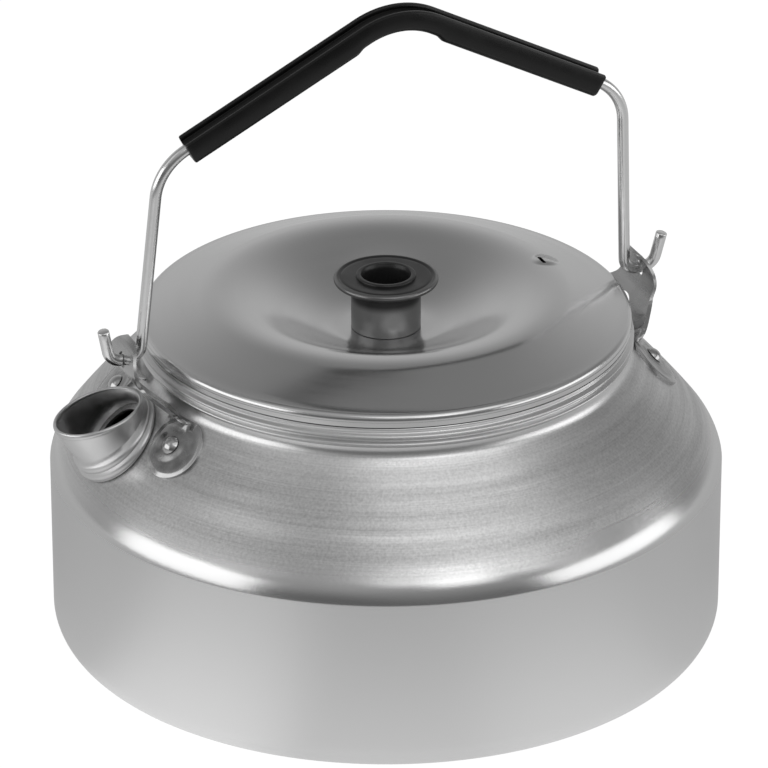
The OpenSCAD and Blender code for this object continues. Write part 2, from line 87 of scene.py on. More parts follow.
class Wiring:
    """Short ways to add shader nodes to one node tree."""

    def __init__(self, tree):
        self.nodes, self.links = tree.nodes, tree.links

    def join(self, value, socket):
        """Links another node's output to a socket, or sets the socket to a plain value."""
        if isinstance(value, bpy.types.NodeSocket):
            self.links.new(value, socket)
        else:
            socket.default_value = value

    def add(self, kind, *values, **settings):
        """New node with its settings; values go to its sockets in their order."""
        node = self.nodes.new(kind)
        for key, value in settings.items():
            setattr(node, key, value)
        for value, socket in zip(values, node.inputs):
            self.join(value, socket)
        return node

    def ramp(self, source, low, high, out_low, out_high):
        """Smooth step, 3t2 - 2t3, of a value from low..high to out_low..out_high."""
        return self.add("ShaderNodeMapRange", source, low, high, out_low, out_high,
                        interpolation_type="SMOOTHSTEP").outputs[0]

    def math(self, operation, *terms):
        return self.add("ShaderNodeMath", *terms, operation=operation).outputs[0]

    def vector(self, operation, *terms):
        """Vector operation; a dot product, a length and a distance give a number."""
        node = self.add("ShaderNodeVectorMath", *terms, operation=operation)
        return node.outputs["Value" if operation in ("DOT_PRODUCT", "LENGTH", "DISTANCE") else "Vector"]


# The room that the metal mirrors: a ceiling that grows brighter upwards, a pale wall behind, and soft patches.
# The camera itself sees plain white.
world = bpy.data.worlds.new("studio")
bpy.context.scene.world = world
world.use_nodes = True
studio = Wiring(world.node_tree)
studio.nodes.clear()
looking = studio.add("ShaderNodeTexCoord").outputs["Generated"]
upward = studio.add("ShaderNodeSeparateXYZ", looking).outputs[2]


def patch(turn, rise, edge, core, strength):
    """Soft round patch of light: nothing beyond the cosine edge, full inside the cosine core."""
    return studio.ramp(studio.vector("DOT_PRODUCT", looking, toward(turn, rise)), edge, core, 0.0, strength)


room = studio.math("MULTIPLY", studio.ramp(upward, 0.10, 0.95, 1.0, 0.0), patch(180, 0, -0.3, 0.9, 0.46))
room = studio.math("ADD", room, studio.ramp(upward, 0.0, 0.6, 0.17, 0.28))
for turn, rise, edge, core, strength in (
        (0, 0, 0.60, 0.97, -0.02), (125, 20, 0.90, 0.99, -0.20), (-72, 44, 0.89, 0.99, 0.06),
        (74, 43, 0.89, 0.99, 0.06), (-64, 41, 0.95, 0.99, 0.40), (67, 40, 0.95, 0.99, 0.40),
        (20, 36, 0.74, 0.99, 0.10), (-35, 52, 0.70, 0.99, 0.14), (10, 75, 0.80, 0.99, 0.12)):
    room = studio.math("ADD", room, patch(turn, rise, edge, core, strength))
mirrored_room = studio.add("ShaderNodeBackground", (0.8, 0.8, 0.8, 1), room)
white = studio.add("ShaderNodeBackground", (1, 1, 1, 1), 1.0)
choose = studio.add("ShaderNodeMixShader", studio.add("ShaderNodeLightPath").outputs["Is Camera Ray"],
                    mirrored_room.outputs[0], white.outputs[0])
studio.add("ShaderNodeOutputWorld", choose.outputs[0])

# The table is white to the camera. In the metal it is brightest close to the kettle on the camera's side, and
# further out it is grey, except on that side, where it is dark.
HALF_TABLE, UNDER_BASE = 4, -0.0002
table_mesh = bpy.data.meshes.new("table")
table_mesh.from_pydata([(x * HALF_TABLE, y * HALF_TABLE, UNDER_BASE) for x, y in ((-1, -1), (1, -1), (1, 1), (-1, 1))],
                       [], [(0, 1, 2, 3)])
table = bpy.data.objects.new("table", table_mesh)
bpy.context.scene.collection.objects.link(table)
table_paint = bpy.data.materials.new("table_paint")
table_paint.use_nodes = True
paint = Wiring(table_paint.node_tree)
table_shader = paint.nodes["Principled BSDF"]
table_shader.inputs["Base Color"].default_value = (0.20, 0.20, 0.20, 1)
table_shader.inputs["Roughness"].default_value = 0.9
table_shader.inputs["Specular IOR Level"].default_value = 0.0
table_shader.inputs["Emission Color"].default_value = (1, 1, 1, 1)
seen_by = paint.add("ShaderNodeLightPath")
on_table = paint.add("ShaderNodeTexCoord").outputs["Object"]
reach = paint.vector("LENGTH", on_table)
aim = paint.vector("NORMALIZE", on_table)


def fan(turn, low, high, out_low, out_high):
    """Fan of brightness on the table: out_high straight towards turn, out_low beyond the cosine low."""
    return paint.ramp(paint.vector("DOT_PRODUCT", aim, toward(turn, 0)), low, high, out_low, out_high)


near = paint.math("MULTIPLY", paint.ramp(reach, 0.08, 0.22, 1.0, 0.55), paint.ramp(reach, 0.30, 0.48, 1.0, 0.0))
fans = paint.math("ADD", fan(0, -0.3, 0.8, 0.0, 0.60), fan(-42, 0.87, 0.995, 0.0, 0.20))
fans = paint.math("ADD", fans, fan(42, 0.87, 0.995, 0.0, 0.08))
far_behind = paint.math("MULTIPLY", paint.ramp(reach, 0.12, 0.45, 0.0, 1.0), fan(180, -0.1, 0.9, 0.0, 0.06))
table_light = paint.math("ADD", paint.math("MULTIPLY", near, fans), fan(0, -0.2, 0.7, 0.33, 0.0))
table_light = paint.math("ADD", table_light, far_behind)
table_light = paint.math("MULTIPLY", seen_by.outputs["Is Glossy Ray"], table_light)
table_light = paint.math("MULTIPLY_ADD", seen_by.outputs["Is Camera Ray"], 0.88, table_light)
paint.join(paint.math("ADD", table_light, 0.06), table_shader.inputs["Emission Strength"])
table_mesh.materials.append(table_paint)

# Kettle body.
# One disc of aluminium spun on a lathe: flat base, straight wall, sloping shoulder and a neck with two
# beads. The wall is satin, and the shoulder keeps the rings of the spinning tool.
MM = 0.001
SHEET = 0.8
BODY_R, WALL_TOP, NECK_R, ROOT_Z, NECK_TOP = 87.5, 47.7, 63.0, 78.99, 84.89
BASE_R, EDGE_C, EDGE_R, FILLET_R = 7.3, np.array([74.589, 44.956]), 13.2, 3.9
SLOPE_LOW, SLOPE_HIGH = 38, 46


def arc(centre, radius, start, end, steps):
    """Points of an arc: centre plus radius times the cosine and sine of angles from start to end, in degrees."""
    a = np.radians(np.linspace(start, end, steps + 1))
    return np.stack([centre[0] + radius * np.cos(a), centre[1] + radius * np.sin(a)], 1)


def surface(name, grid, loop_rows, loop_columns):
    """Mesh over a grid of points [row, column, xyz] in millimetres, with a quad in each cell. A loop joins the
    last row or column to the first. The UV map holds the turn, 0 to 1, and the length along a column, in metres."""
    if loop_rows:
        grid = np.concatenate([grid, grid[:1]])
    if loop_columns:
        grid = np.concatenate([grid, grid[:, :1]], 1)
    rows, columns = grid.shape[:2]
    number = np.arange(rows * columns).reshape(rows, columns)
    quads = np.stack([number[:-1, :-1], number[:-1, 1:], number[1:, 1:], number[1:, :-1]], -1).reshape(-1, 4)
    steps = np.linalg.norm(np.diff(grid, axis=0), axis=2).mean(1)
    length = np.concatenate([[0], np.cumsum(steps)]) * MM
    turn = np.linspace(0, 1, columns)
    mesh = bpy.data.meshes.new(name)
    mesh.from_pydata((grid * MM).reshape(-1, 3).tolist(), [], quads.tolist())
    uv = np.stack([np.tile(turn, rows), np.repeat(length, columns)], 1)[quads.reshape(-1)]
    mesh.uv_layers.new(name="Surface").data.foreach_set("uv", uv.reshape(-1).astype(np.float32))
    piece = bpy.data.objects.new(name, mesh)
    bpy.context.scene.collection.objects.link(piece)
    close_up(piece)
    return piece


def close_up(piece, crease=40):
    """Merges the doubles at seams and poles, points the faces outwards and keeps corners over crease degrees."""
    work = bmesh.new()
    work.from_mesh(piece.data)
    bmesh.ops.remove_doubles(work, verts=work.verts, dist=2e-6)
    bmesh.ops.dissolve_degenerate(work, edges=work.edges, dist=1e-7)
    bmesh.ops.recalc_face_normals(work, faces=work.faces)
    work.to_mesh(piece.data)
    work.free()
    piece.data.shade_smooth()
    piece.data.set_sharp_from_angle(angle=math.radians(crease))


def turned_grid(outline, turns):
    """Points of a surface of revolution: each outline point [r, z] goes round as r cos a, r sin a, z."""
    a = 2 * math.pi * np.arange(turns) / turns
    r, z = np.asarray(outline, float).T
    return np.stack([np.outer(r, np.cos(a)), np.outer(r, np.sin(a)), np.repeat(z, turns).reshape(len(z), turns)], -1)


def lathe(name, outline, turns=224):
    """Piece turned from an outline, which is a closed loop unless it starts on the axis."""
    return surface(name, turned_grid(outline, turns), outline[0][0] > 0, True)


# The shoulder is an arc tangent to the rounded edge at SLOPE_LOW and to the neck's fillet at SLOPE_HIGH.
cos_low, cos_high = math.cos(math.radians(SLOPE_LOW)), math.cos(math.radians(SLOPE_HIGH))
shoulder_in = BODY_R - EDGE_R * (math.cos(math.radians(12)) - cos_low) - NECK_R - FILLET_R * (1 - cos_high)
SHOULDER_R = shoulder_in / (cos_low - cos_high)
SHOULDER_C = EDGE_C + (EDGE_R - SHOULDER_R) * np.array([cos_low, math.sin(math.radians(SLOPE_LOW))])


def body_side(grow):
    """Outline of the body from base to neck, moved outwards by grow: arcs, and two beads as a squared sine."""
    t = np.linspace(0, 1, 57)
    beads = np.stack([NECK_R + grow + 1.1 * np.sin(2 * math.pi * t) ** 2 * (0.85 + 0.15 * t),
                      ROOT_Z + 0.4 + 4.4 * t], 1)
    wall = np.stack([np.full(10, BODY_R + grow), np.linspace(9, 46.5, 10)], 1)
    return np.concatenate([
        arc((BODY_R - BASE_R, BASE_R), BASE_R + grow, -90, 0, 14), wall,
        arc((BODY_R - 2, WALL_TOP - 0.21), 2 + grow, 0, 11.5, 4),
        arc(EDGE_C, EDGE_R + grow, 13.5, 37, 16),
        arc(SHOULDER_C, SHOULDER_R + grow, SLOPE_LOW, SLOPE_HIGH, 26),
        arc((NECK_R + FILLET_R, ROOT_Z), FILLET_R - grow, 225, 180, 10), beads,
        [[NECK_R + 0.4 + grow, NECK_TOP - 0.15], [NECK_R + 0.3 + grow, NECK_TOP]]])


body = lathe("spun_body", np.concatenate([
    [[0, 0], [20, 0], [50, 0]], body_side(0), [[NECK_R - 0.25, NECK_TOP]],
    body_side(-SHEET)[::-1][2:], [[50, SHEET], [20, SHEET], [0, SHEET]]]))


def cut_away(piece, cutter):
    """Takes the cutter's closed shape out of the piece, and drops the cutter."""
    tool = piece.modifiers.new("cut", "BOOLEAN")
    tool.operation = "DIFFERENCE"
    tool.solver = "EXACT"
    tool.object = cutter
    graph = bpy.context.evaluated_depsgraph_get()
    cut = bpy.data.meshes.new_from_object(piece.evaluated_get(graph))
    piece.modifiers.clear()
    piece.data = cut
    bpy.data.objects.remove(cutter)
    cut.shade_smooth()
    cut.set_sharp_from_angle(angle=math.radians(40))


# The spout stands square on the shoulder at this height, and the hole under it is a plain drum.
SPOUT_Z, POUR_R = 65.69, 8.4
SPOUT_REACH = SHOULDER_C[0] + math.sqrt(SHOULDER_R ** 2 - (SPOUT_Z - SHOULDER_C[1]) ** 2)
SPOUT_RISE = math.acos((SPOUT_REACH - SHOULDER_C[0]) / SHOULDER_R)


def on_spout(points):
    """Moves points from the spout's own frame, with Z along the shoulder's normal, to the kettle's."""
    b = math.pi / 2 - SPOUT_RISE
    x, y, z = np.moveaxis(np.asarray(points, float), -1, 0)
    out = x * math.cos(b) + z * math.sin(b) + SPOUT_REACH
    up = -x * math.sin(b) + z * math.cos(b) + SPOUT_Z
    return np.stack([-out, -y, up], -1)


drum = turned_grid([(0, -4), (POUR_R, -4), (POUR_R, 4), (0, 4)], 64)
cut_away(body, surface("pour_hole_cutter", on_spout(drum), False, True))


class Finish(Wiring):
    """A material; self.shader is its Principled BSDF and self.place its Object coordinates."""

    def __init__(self, name, colour, rough, metal=1.0):
        self.material = bpy.data.materials.new(name)
        self.material.use_nodes = True
        self.material.diffuse_color = (colour, colour, colour, 1)
        super().__init__(self.material.node_tree)
        self.shader = self.nodes["Principled BSDF"]
        self.shader.inputs["Base Color"].default_value = (colour, colour, colour, 1)
        self.shader.inputs["Roughness"].default_value = rough
        self.shader.inputs["Metallic"].default_value = metal
        self.place = self.add("ShaderNodeTexCoord").outputs["Object"]

    def group(self, tree, **values):
        """Places a node group and sets or joins its named sockets."""
        node = self.add("ShaderNodeGroup", node_tree=tree)
        for key, value in values.items():
            self.join(value, node.inputs[key])
        return node

    def speckle(self, scale):
        """Cloudy noise between 0 and 1, scale patches to the metre."""
        noise = self.add("ShaderNodeTexNoise")
        for label, value in (("Vector", self.place), ("Scale", scale), ("Detail", 2.0)):
            self.join(value, noise.inputs[label])
        return noise.outputs[0]

    def height(self):
        """Distance above the table, in metres."""
        return self.add("ShaderNodeSeparateXYZ", self.place).outputs[2]

    def on_surface(self, axis):
        """The piece's own UV map: axis 0 is the turn, 0 to 1, and axis 1 the length along the outline in metres."""
        uv = self.add("ShaderNodeUVMap", uv_map="Surface").outputs[0]
        return self.add("ShaderNodeSeparateXYZ", uv).outputs[axis]

    def off_axis(self):
        """Distance from the kettle's middle line, in metres."""
        return self.vector("LENGTH", self.vector("MULTIPLY", self.place, (1, 1, 0)))

    def grey(self, value):
        colour = self.add("ShaderNodeCombineColor", value, value, value)
        self.join(colour.outputs[0], self.shader.inputs["Base Color"])

    def rough(self, value):
        self.join(value, self.shader.inputs["Roughness"])

    def bump(self, height, distance, strength=1.0):
        """Relief on top of any relief added before."""
        node = self.add("ShaderNodeBump")
        for link in self.shader.inputs["Normal"].links:
            self.join(link.from_socket, node.inputs["Normal"])
        for label, value in (("Distance", distance), ("Strength", strength), ("Height", height)):
            self.join(value, node.inputs[label])
        self.join(node.outputs[0], self.shader.inputs["Normal"])

    def turned(self, amount):
        """Stretches highlights across the tool's rings, by amount, about the piece's Z axis."""
        tangent = self.add("ShaderNodeTangent", direction_type="RADIAL", axis="Z")
        self.join(tangent.outputs[0], self.shader.inputs["Tangent"])
        self.shader.inputs["Anisotropic"].default_value = amount

    def cover(self, piece):
        """Makes this the piece's only material."""
        piece.data.materials.clear()
        piece.data.materials.append(self.material)


def new_group(name, inputs, outputs):
    """Empty shader group with named inputs, a number each or None for a vector, and named number outputs."""
    tree = bpy.data.node_groups.new(name, "ShaderNodeTree")
    for label, start in inputs.items():
        kind = "NodeSocketVector" if start is None else "NodeSocketFloat"
        socket = tree.interface.new_socket(label, in_out="INPUT", socket_type=kind)
        if start is not None:
            socket.default_value = start
    for label in outputs:
        tree.interface.new_socket(label, in_out="OUTPUT", socket_type="NodeSocketFloat")
    return tree, tree.nodes.new("NodeGroupInput"), tree.nodes.new("NodeGroupOutput")


# Rings that a tool leaves on turned sheet: noise on the place round the axis, which changes slowly, and
# the distance along the outline, which changes fast. Broad is the uneven pressure, Fine the tool's lines.
spun, spun_in, spun_out = new_group("spun rings", {"Place": None, "Along": 0.0, "Round": 0.6, "Rings": 120.0},
                                    ["Broad", "Fine"])
turning = Wiring(spun)
unit = turning.vector("NORMALIZE", turning.vector("MULTIPLY", spun_in.outputs["Place"], (1, 1, 0)))
widened = turning.add("ShaderNodeVectorMath", unit, operation="SCALE")
turning.join(spun_in.outputs["Round"], widened.inputs["Scale"])
for label, finer, detail in (("Broad", 1.0, 2.0), ("Fine", 14.0, 3.0)):
    apart = turning.math("MULTIPLY", spun_in.outputs["Along"], spun_in.outputs["Rings"])
    lift = turning.add("ShaderNodeCombineXYZ", 0.0, 0.0, turning.math("MULTIPLY", apart, finer))
    noise = turning.add("ShaderNodeTexNoise")
    noise.inputs["Scale"].default_value = 1.0
    noise.inputs["Detail"].default_value = detail
    turning.join(turning.vector("ADD", widened.outputs["Vector"], lift.outputs[0]), noise.inputs["Vector"])
    turning.join(noise.outputs[0], spun_out.inputs[label])


# Satin below and turned above: band and streaks are the tool's broad and fine marks, the middle of the shoulder is
# painted a darker grey, and edge_gloss the polish of the rounded edge.
body_finish = Finish("spun_aluminium", 0.70, 0.34)
marks = body_finish.group(spun, Place=body_finish.place, Along=body_finish.on_surface(1), Round=1.1, Rings=210.0)
height = body_finish.height()
shoulder = body_finish.ramp(height, 0.050, 0.058, 0.0, 1.0)
band = body_finish.math("MULTIPLY", body_finish.math("SUBTRACT", marks.outputs["Broad"], 0.5), shoulder)
grain = body_finish.math("MULTIPLY", body_finish.math("SUBTRACT", body_finish.speckle(1500), 0.5), 0.34)
streaks = body_finish.math("MULTIPLY_ADD", body_finish.math("SUBTRACT", marks.outputs["Fine"], 0.5), 0.26, grain)
tone = body_finish.math("MULTIPLY_ADD", band, 0.45, 0.71)
slope = body_finish.math("MULTIPLY", shoulder, body_finish.ramp(height, 0.076, 0.079, 1.0, 0.2))
tone = body_finish.math("MULTIPLY_ADD", streaks, slope, tone)
# The middle of the shoulder is painted a darker grey.
darker_middle = body_finish.math("MULTIPLY", body_finish.ramp(height, 0.052, 0.057, 0.0, 1.0),
                        body_finish.ramp(height, 0.0722, 0.0736, 1.0, 0.0))
body_finish.grey(body_finish.math("MULTIPLY_ADD", darker_middle, -0.10, tone))
edge_gloss = body_finish.math("MULTIPLY", body_finish.ramp(height, 0.0472, 0.0478, 0.0, 1.0),
                              body_finish.ramp(height, 0.052, 0.058, 1.0, 0.0))
rough = body_finish.math("MULTIPLY_ADD", band, -0.35, 0.34)
rough = body_finish.math("MULTIPLY_ADD", body_finish.ramp(height, 0.077, 0.079, 0.0, 1.0), -0.03, rough)
body_finish.rough(body_finish.math("MULTIPLY_ADD", edge_gloss, -0.13, rough))
relief = body_finish.math("MULTIPLY", marks.outputs["Fine"], slope)
body_finish.bump(body_finish.math("ADD", relief, body_finish.speckle(2600)), 0.00003, 0.5)
body_finish.turned(0.25)
body_finish.cover(body)
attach(body, "kettle")
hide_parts("kettle_body")

# Spout.
# A short funnel of the same sheet, set on the shoulder with a double bead at its root, and a thin roll
# round its mouth. Its middle line bends upwards, and its mouth is a little narrower across.
SPOUT_L, SPOUT_BEND, WAIST_R, MOUTH_R, BEAD_R, BEAD_T, ROLL_R = 9.6, math.radians(31), 10.9, 12.0, 13.2, 1.6, 0.55
MOUTH_PINCH = 0.14


def spout_flare(s):
    """Outer radius at s along the middle line: the waist, then out to the mouth with the power 1.8."""
    return WAIST_R + (MOUTH_R - WAIST_R) * (np.clip(s - 2 * BEAD_T, 0, None) / (SPOUT_L - 2 * BEAD_T)) ** 1.8


bead = np.array([BEAD_R - BEAD_T / 2, BEAD_T / 2])
outer = np.linspace(2 * BEAD_T + 0.5, SPOUT_L - 0.5, 16)
inner = np.linspace(SPOUT_L - 0.3, 0, 22)
spout_line = np.concatenate([
    [[bead[0], 0]], arc(bead, BEAD_T / 2, -70, 62, 8),
    arc(bead + [-BEAD_T / 2, 0.85 * BEAD_T], BEAD_T / 2, -28, 84, 8),
    np.stack([spout_flare(outer), outer], 1),
    arc((MOUTH_R - SHEET / 2, SPOUT_L), ROLL_R, -50, 230, 14),
    np.stack([spout_flare(inner) - SHEET, inner], 1)])
q, s = spout_line[:, :1], spout_line[:, 1:]
w = 2 * math.pi * np.arange(96)[None] / 96
bend = s / SPOUT_L * SPOUT_BEND
path_r = SPOUT_L / SPOUT_BEND
wide = 1 - MOUTH_PINCH * s / SPOUT_L
# Near its root the spout sinks with the shoulder, which falls away by half the squared distance over the radius.
sink = np.clip(1 - s / (2 * BEAD_T), 0, None) * ((q * np.cos(w)) ** 2 / SHOULDER_R
                                                + (q * np.sin(w)) ** 2 * math.cos(SPOUT_RISE) / SPOUT_REACH) / 2
spout = surface("spout_funnel", on_spout(np.stack([
    -path_r * (1 - np.cos(bend)) + q * np.cos(w) * np.cos(bend), wide * q * np.sin(w),
    0.1 + path_r * np.sin(bend) + q * np.cos(w) * np.sin(bend) - sink], -1)), True, True)
spout_finish = Finish("spout_aluminium", 0.70, 0.27)
spout_finish.bump(spout_finish.speckle(2200), 0.00002, 0.5)
spout_finish.rough(spout_finish.ramp(spout_finish.speckle(160), 0.3, 0.7, 0.31, 0.41))
spout_finish.cover(spout)
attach(spout, "kettle")
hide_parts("spout")

# Lugs and rivets.
# Two pressings of polished stainless sheet, each with a curled ear that the bail hooks through and two feet
# riveted to the shoulder. Their meshes are smoothed copies of the model's own.
FOOT_MIDDLE, FOOT_STEP = (0.06658, 0.02084, 0.0706), (0.0670, 0.0194, 0.0708)
LUG_CREASE = 34
lug_finish = Finish("polished_stainless", 0.50, 0.13)
lug_finish.rough(lug_finish.ramp(lug_finish.speckle(240), 0.35, 0.7, 0.19, 0.31))
lug_finish.bump(lug_finish.speckle(900), 0.00004, 0.25)
one_foot = lug_finish.vector("ABSOLUTE", lug_finish.place)


def foot_mask(point, low, high, out_low, out_high):
    """Smooth step of the distance from a point of the foot, the same at all four feet."""
    return lug_finish.ramp(lug_finish.vector("DISTANCE", one_foot, point), low, high, out_low, out_high)


# The foot carries a pressed step beside its rivet and an edge that rolls off, and its middle is darkened with patchy
# painted shade.
pressed = foot_mask(FOOT_STEP, 0.0026, 0.0052, 1.0, 0.0)
rolled = foot_mask(FOOT_MIDDLE, 0.0072, 0.0088, 0.0, -1.0)
lug_finish.bump(lug_finish.math("ADD", pressed, rolled), 0.0004, 1.0)
# Painted shade: the middle of each foot is painted darker, in patches.
painted_foot_shade = lug_finish.math("MULTIPLY", foot_mask(FOOT_MIDDLE, 0.0056, 0.0078, 1.0, 0.0),
                          lug_finish.ramp(lug_finish.speckle(260), 0.35, 0.65, 0.5, 1.0))
lug_finish.grey(lug_finish.math("MULTIPLY_ADD", painted_foot_shade, -0.24, 0.52))
for name in ("spout_lug", "rear_lug"):
    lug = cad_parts[name].copy()
    lug.name, lug.data = "pressed_" + name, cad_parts[name].data.copy()
    bpy.context.scene.collection.objects.link(lug)
    close_up(lug, LUG_CREASE)
    lug_finish.cover(lug)
    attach(lug, "kettle")
    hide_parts(name)
rivet_finish = Finish("rivet_steel", 0.55, 0.16)
rivet_finish.bump(rivet_finish.speckle(700), 0.00004, 0.3)
for name in ("spout_lug_rivet_a", "spout_lug_rivet_b", "rear_lug_rivet_a", "rear_lug_rivet_b"):
    rivet_finish.cover(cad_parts[name])

# Lid.
# Pressed from thinner, brighter sheet: a hem over the neck, a slope up to a raised ring, and a wide dish that
# the knob stands in. A slot in the ring lets steam out.
LID_R, SEAT_Z = NECK_R + 0.4, 85.09
HEM_Z, LID_EDGE_Z = SEAT_Z + 1.8, SEAT_Z + 3.4
CREST_R, CREST_UP, DISH_DEEP, FLAT_R, HEM_R, SKIRT_R = 43.0, 5.9, 10.6, 11, 1.6, 61.8
DISH_Z = LID_EDGE_Z + CREST_UP - DISH_DEEP
CONE_SLOPE = CREST_UP / (LID_R - HEM_R - CREST_R - 2.5)
SLOT_HALF, SLOT_R, SLOT_OUT = 1.5, 0.5, 1


def lid_height(r):
    """Upper face at radius r: flat middle, smooth rise 3t2 - 2t3 to the ring, rounded ring, straight slope."""
    t = np.clip((r - FLAT_R) / (CREST_R - FLAT_R), 0, 1)
    out = np.clip(r - CREST_R, 0, None)
    return DISH_Z + DISH_DEEP * (3 * t * t - 2 * t ** 3) - CONE_SLOPE * np.where(out < 5, out * out / 10, out - 2.5)


face_r = np.concatenate([np.linspace(0, FLAT_R, 4), np.linspace(12, CREST_R, 44), np.linspace(43.5, 49, 12),
                         np.linspace(51, LID_R - 1.75, 7)])
face = np.stack([face_r, lid_height(face_r)], 1)
hem = np.array([[LID_R, HEM_Z - 0.12], [LID_R - 0.18, HEM_Z - 0.2], [LID_R - 0.18, HEM_Z - 0.34],
                [LID_R, HEM_Z - 0.46], [LID_R + 0.02, HEM_Z - 1.0], [LID_R - 0.02, SEAT_Z + 0.12],
                [LID_R - 0.15, SEAT_Z], [SKIRT_R, SEAT_Z], [SKIRT_R, SEAT_Z - 6.8], [SKIRT_R - 0.2, SEAT_Z - 7],
                [SKIRT_R - 0.6, SEAT_Z - 7], [SKIRT_R - SHEET, SEAT_Z - 6.8],
                [SKIRT_R - SHEET, lid_height(SKIRT_R - SHEET) - SHEET]])
under = face[face_r < 60][::-1] - [0, SHEET]
rolled_edge = arc((LID_R - HEM_R, HEM_Z), HEM_R, 82, 0, 10)
lid = lathe("pressed_lid", np.concatenate([face, rolled_edge, hem, under]), 256)
a = np.linspace(0, math.pi, 13)
slot_end = np.stack([SLOT_R * np.cos(a), SLOT_HALF + SLOT_R * np.sin(a)], 1)
size, z = np.array([(0, 90), (1, 90), (1, 96), (0, 96)], float).T[..., None]
x, y = np.concatenate([slot_end, -slot_end]).T
slot_grid = np.stack([CREST_R + SLOT_OUT + size * x, size * y, z + 0 * x], -1)
cut_away(lid, surface("steam_slot_cutter", slot_grid, False, True))
lid_finish = Finish("bright_lid_sheet", 0.70, 0.20)
lid_marks = lid_finish.group(spun, Place=lid_finish.place, Along=lid_finish.on_surface(1), Round=0.8, Rings=260.0)
lid_finish.rough(lid_finish.ramp(lid_marks.outputs["Broad"], 0.3, 0.7, 0.16, 0.22))
lid_finish.bump(lid_marks.outputs["Fine"], 0.00002, 0.25)
# The metal round the slot is pressed up a little.
from_slot = lid_finish.vector("DISTANCE", lid_finish.place, (0.0452, 0.0, 0.0942))
lid_finish.bump(lid_finish.ramp(from_slot, 0.0006, 0.0042, 1.0, 0.0), 0.0011, 1.0)
lid_finish.turned(0.2)
lid_finish.cover(lid)
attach(lid, "lid_with_knob")
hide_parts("lid")

# Knob.
# A spool of moulded black plastic on the lid's middle. The hole down its axis has a raised lip and hides the
# screw's head; a fine groove runs inside the flange's rounded rim.
KNOB_Z, WAIST, HOLE_R, SCREW_R = DISH_Z + 0.05, 9.0, 6.0, 2.15
knob_line = np.concatenate([
    [[SCREW_R, 0], [WAIST - 0.15, 0], [WAIST, 0.15]], np.stack([np.full(6, WAIST), np.linspace(1, 9.5, 6)], 1),
    arc((11.6, 9.7), 2.6, 178, 92, 10), arc((12.65, 13.15), 0.85, -88, 92, 14),
    [[12.3, 13.96], [12.1, 13.84], [11.9, 13.72], [11.7, 13.74], [11.5, 13.84]],
    np.stack([np.linspace(11.2, 8.1, 6), np.linspace(13.88, 13.80, 6)], 1),
    [[7.75, 13.84]], arc((7.3, 14.15), 0.45, 0, 80, 5), [[6.9, 14.6]], arc((6.8, 14.2), 0.4, 80, 180, 5),
    [[6.2, 13.9], [HOLE_R, 13.2], [HOLE_R, 8], [HOLE_R, 2.75], [HOLE_R - 0.15, 2.6], [SCREW_R, 2.6]]])
knob = lathe("moulded_knob", knob_line + [0, KNOB_Z], 128)
knob_finish = Finish("black_knob_plastic", 0.05, 0.34, 0.0)
# The waist is painted a lighter grey as a painted highlight, and the waist and the flange's rim have a higher specular
# level, so they shine more than the rest.
waist = knob_finish.math("MULTIPLY", knob_finish.ramp(knob_finish.height(), 0.0905, 0.0930, 1.0, 0.0),
                         knob_finish.ramp(knob_finish.off_axis(), 0.0075, 0.0085, 0.0, 1.0))
rim = knob_finish.ramp(knob_finish.off_axis(), 0.0124, 0.0130, 0.0, 1.0)
# Painted highlight: the waist's grey is lighter than the rest of the knob.
knob_finish.grey(knob_finish.math("MULTIPLY_ADD", waist, 0.10, 0.018))
shine = knob_finish.math("MULTIPLY_ADD", rim, 2.2, knob_finish.math("MULTIPLY_ADD", waist, 1.9, 0.55))
knob_finish.join(shine, knob_finish.shader.inputs["Specular IOR Level"])
knob_finish.bump(knob_finish.speckle(1500), 0.00003, 0.4)
knob_finish.rough(knob_finish.ramp(knob_finish.speckle(130), 0.3, 0.7, 0.28, 0.40))
knob_finish.cover(knob)
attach(knob, "lid_with_knob")
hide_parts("knob")

# Screw, washer and nut.
# They clamp the knob to the lid, and are plain zinc-plated steel with the model's own meshes.
screw_finish = Finish("plated_screw", 0.45, 0.35)
screw_finish.bump(screw_finish.speckle(900), 0.00004, 0.4)
for name in ("knob_screw", "knob_washer", "knob_nut"):
    screw_finish.cover(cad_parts[name])

# Bail wire.
# One length of 3 mm stainless wire, bent to a gable with rounded corners; each end turns out through an
# ear and up into a short hook.
HINGE_Z, BAIL_LEAN, WIRE_R = 87.3, math.radians(5.4), 1.5
HOOK_X, HOOK_UP = 76, 9.4
half = [(HOOK_X + HOOK_UP / math.tan(math.radians(78)), HOOK_UP, 0), (HOOK_X, 0, 3.8), (67.8, 0, 3.7), (63.9, 53.7, 15)]
corners = half + [(0, 87.9, 20)] + [(-x, y, r) for x, y, r in half[::-1]]


